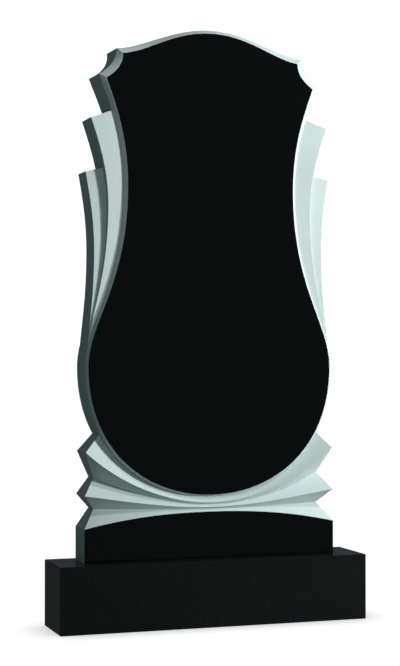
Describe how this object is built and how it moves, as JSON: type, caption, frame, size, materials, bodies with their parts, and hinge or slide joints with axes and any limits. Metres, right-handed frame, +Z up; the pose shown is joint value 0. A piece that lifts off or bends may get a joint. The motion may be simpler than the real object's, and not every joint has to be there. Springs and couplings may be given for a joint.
{
  "type": "headstone",
  "caption": "Upright polished granite headstone with a waisted bare panel, stepped side feathers and a fan of pleats at its foot, standing on a sawn rectangular plinth.",
  "frame": {"origin": "middle of the plinth's underside", "axes": "+Z up, the polished front faces -Y, +X to the right seen from the front"},
  "size_m": [0.73, 0.15, 1.358],
  "materials": {
    "polished_granite": "black granite, polished on the panel and the foot's front, ground to a pale grey on the carved faces and sides",
    "plinth_granite": "black granite, polished"
  },
  "bodies": {
    "root": {"stele": "polished_granite", "plinth": "plinth_granite"}
  },
  "joints": []
}
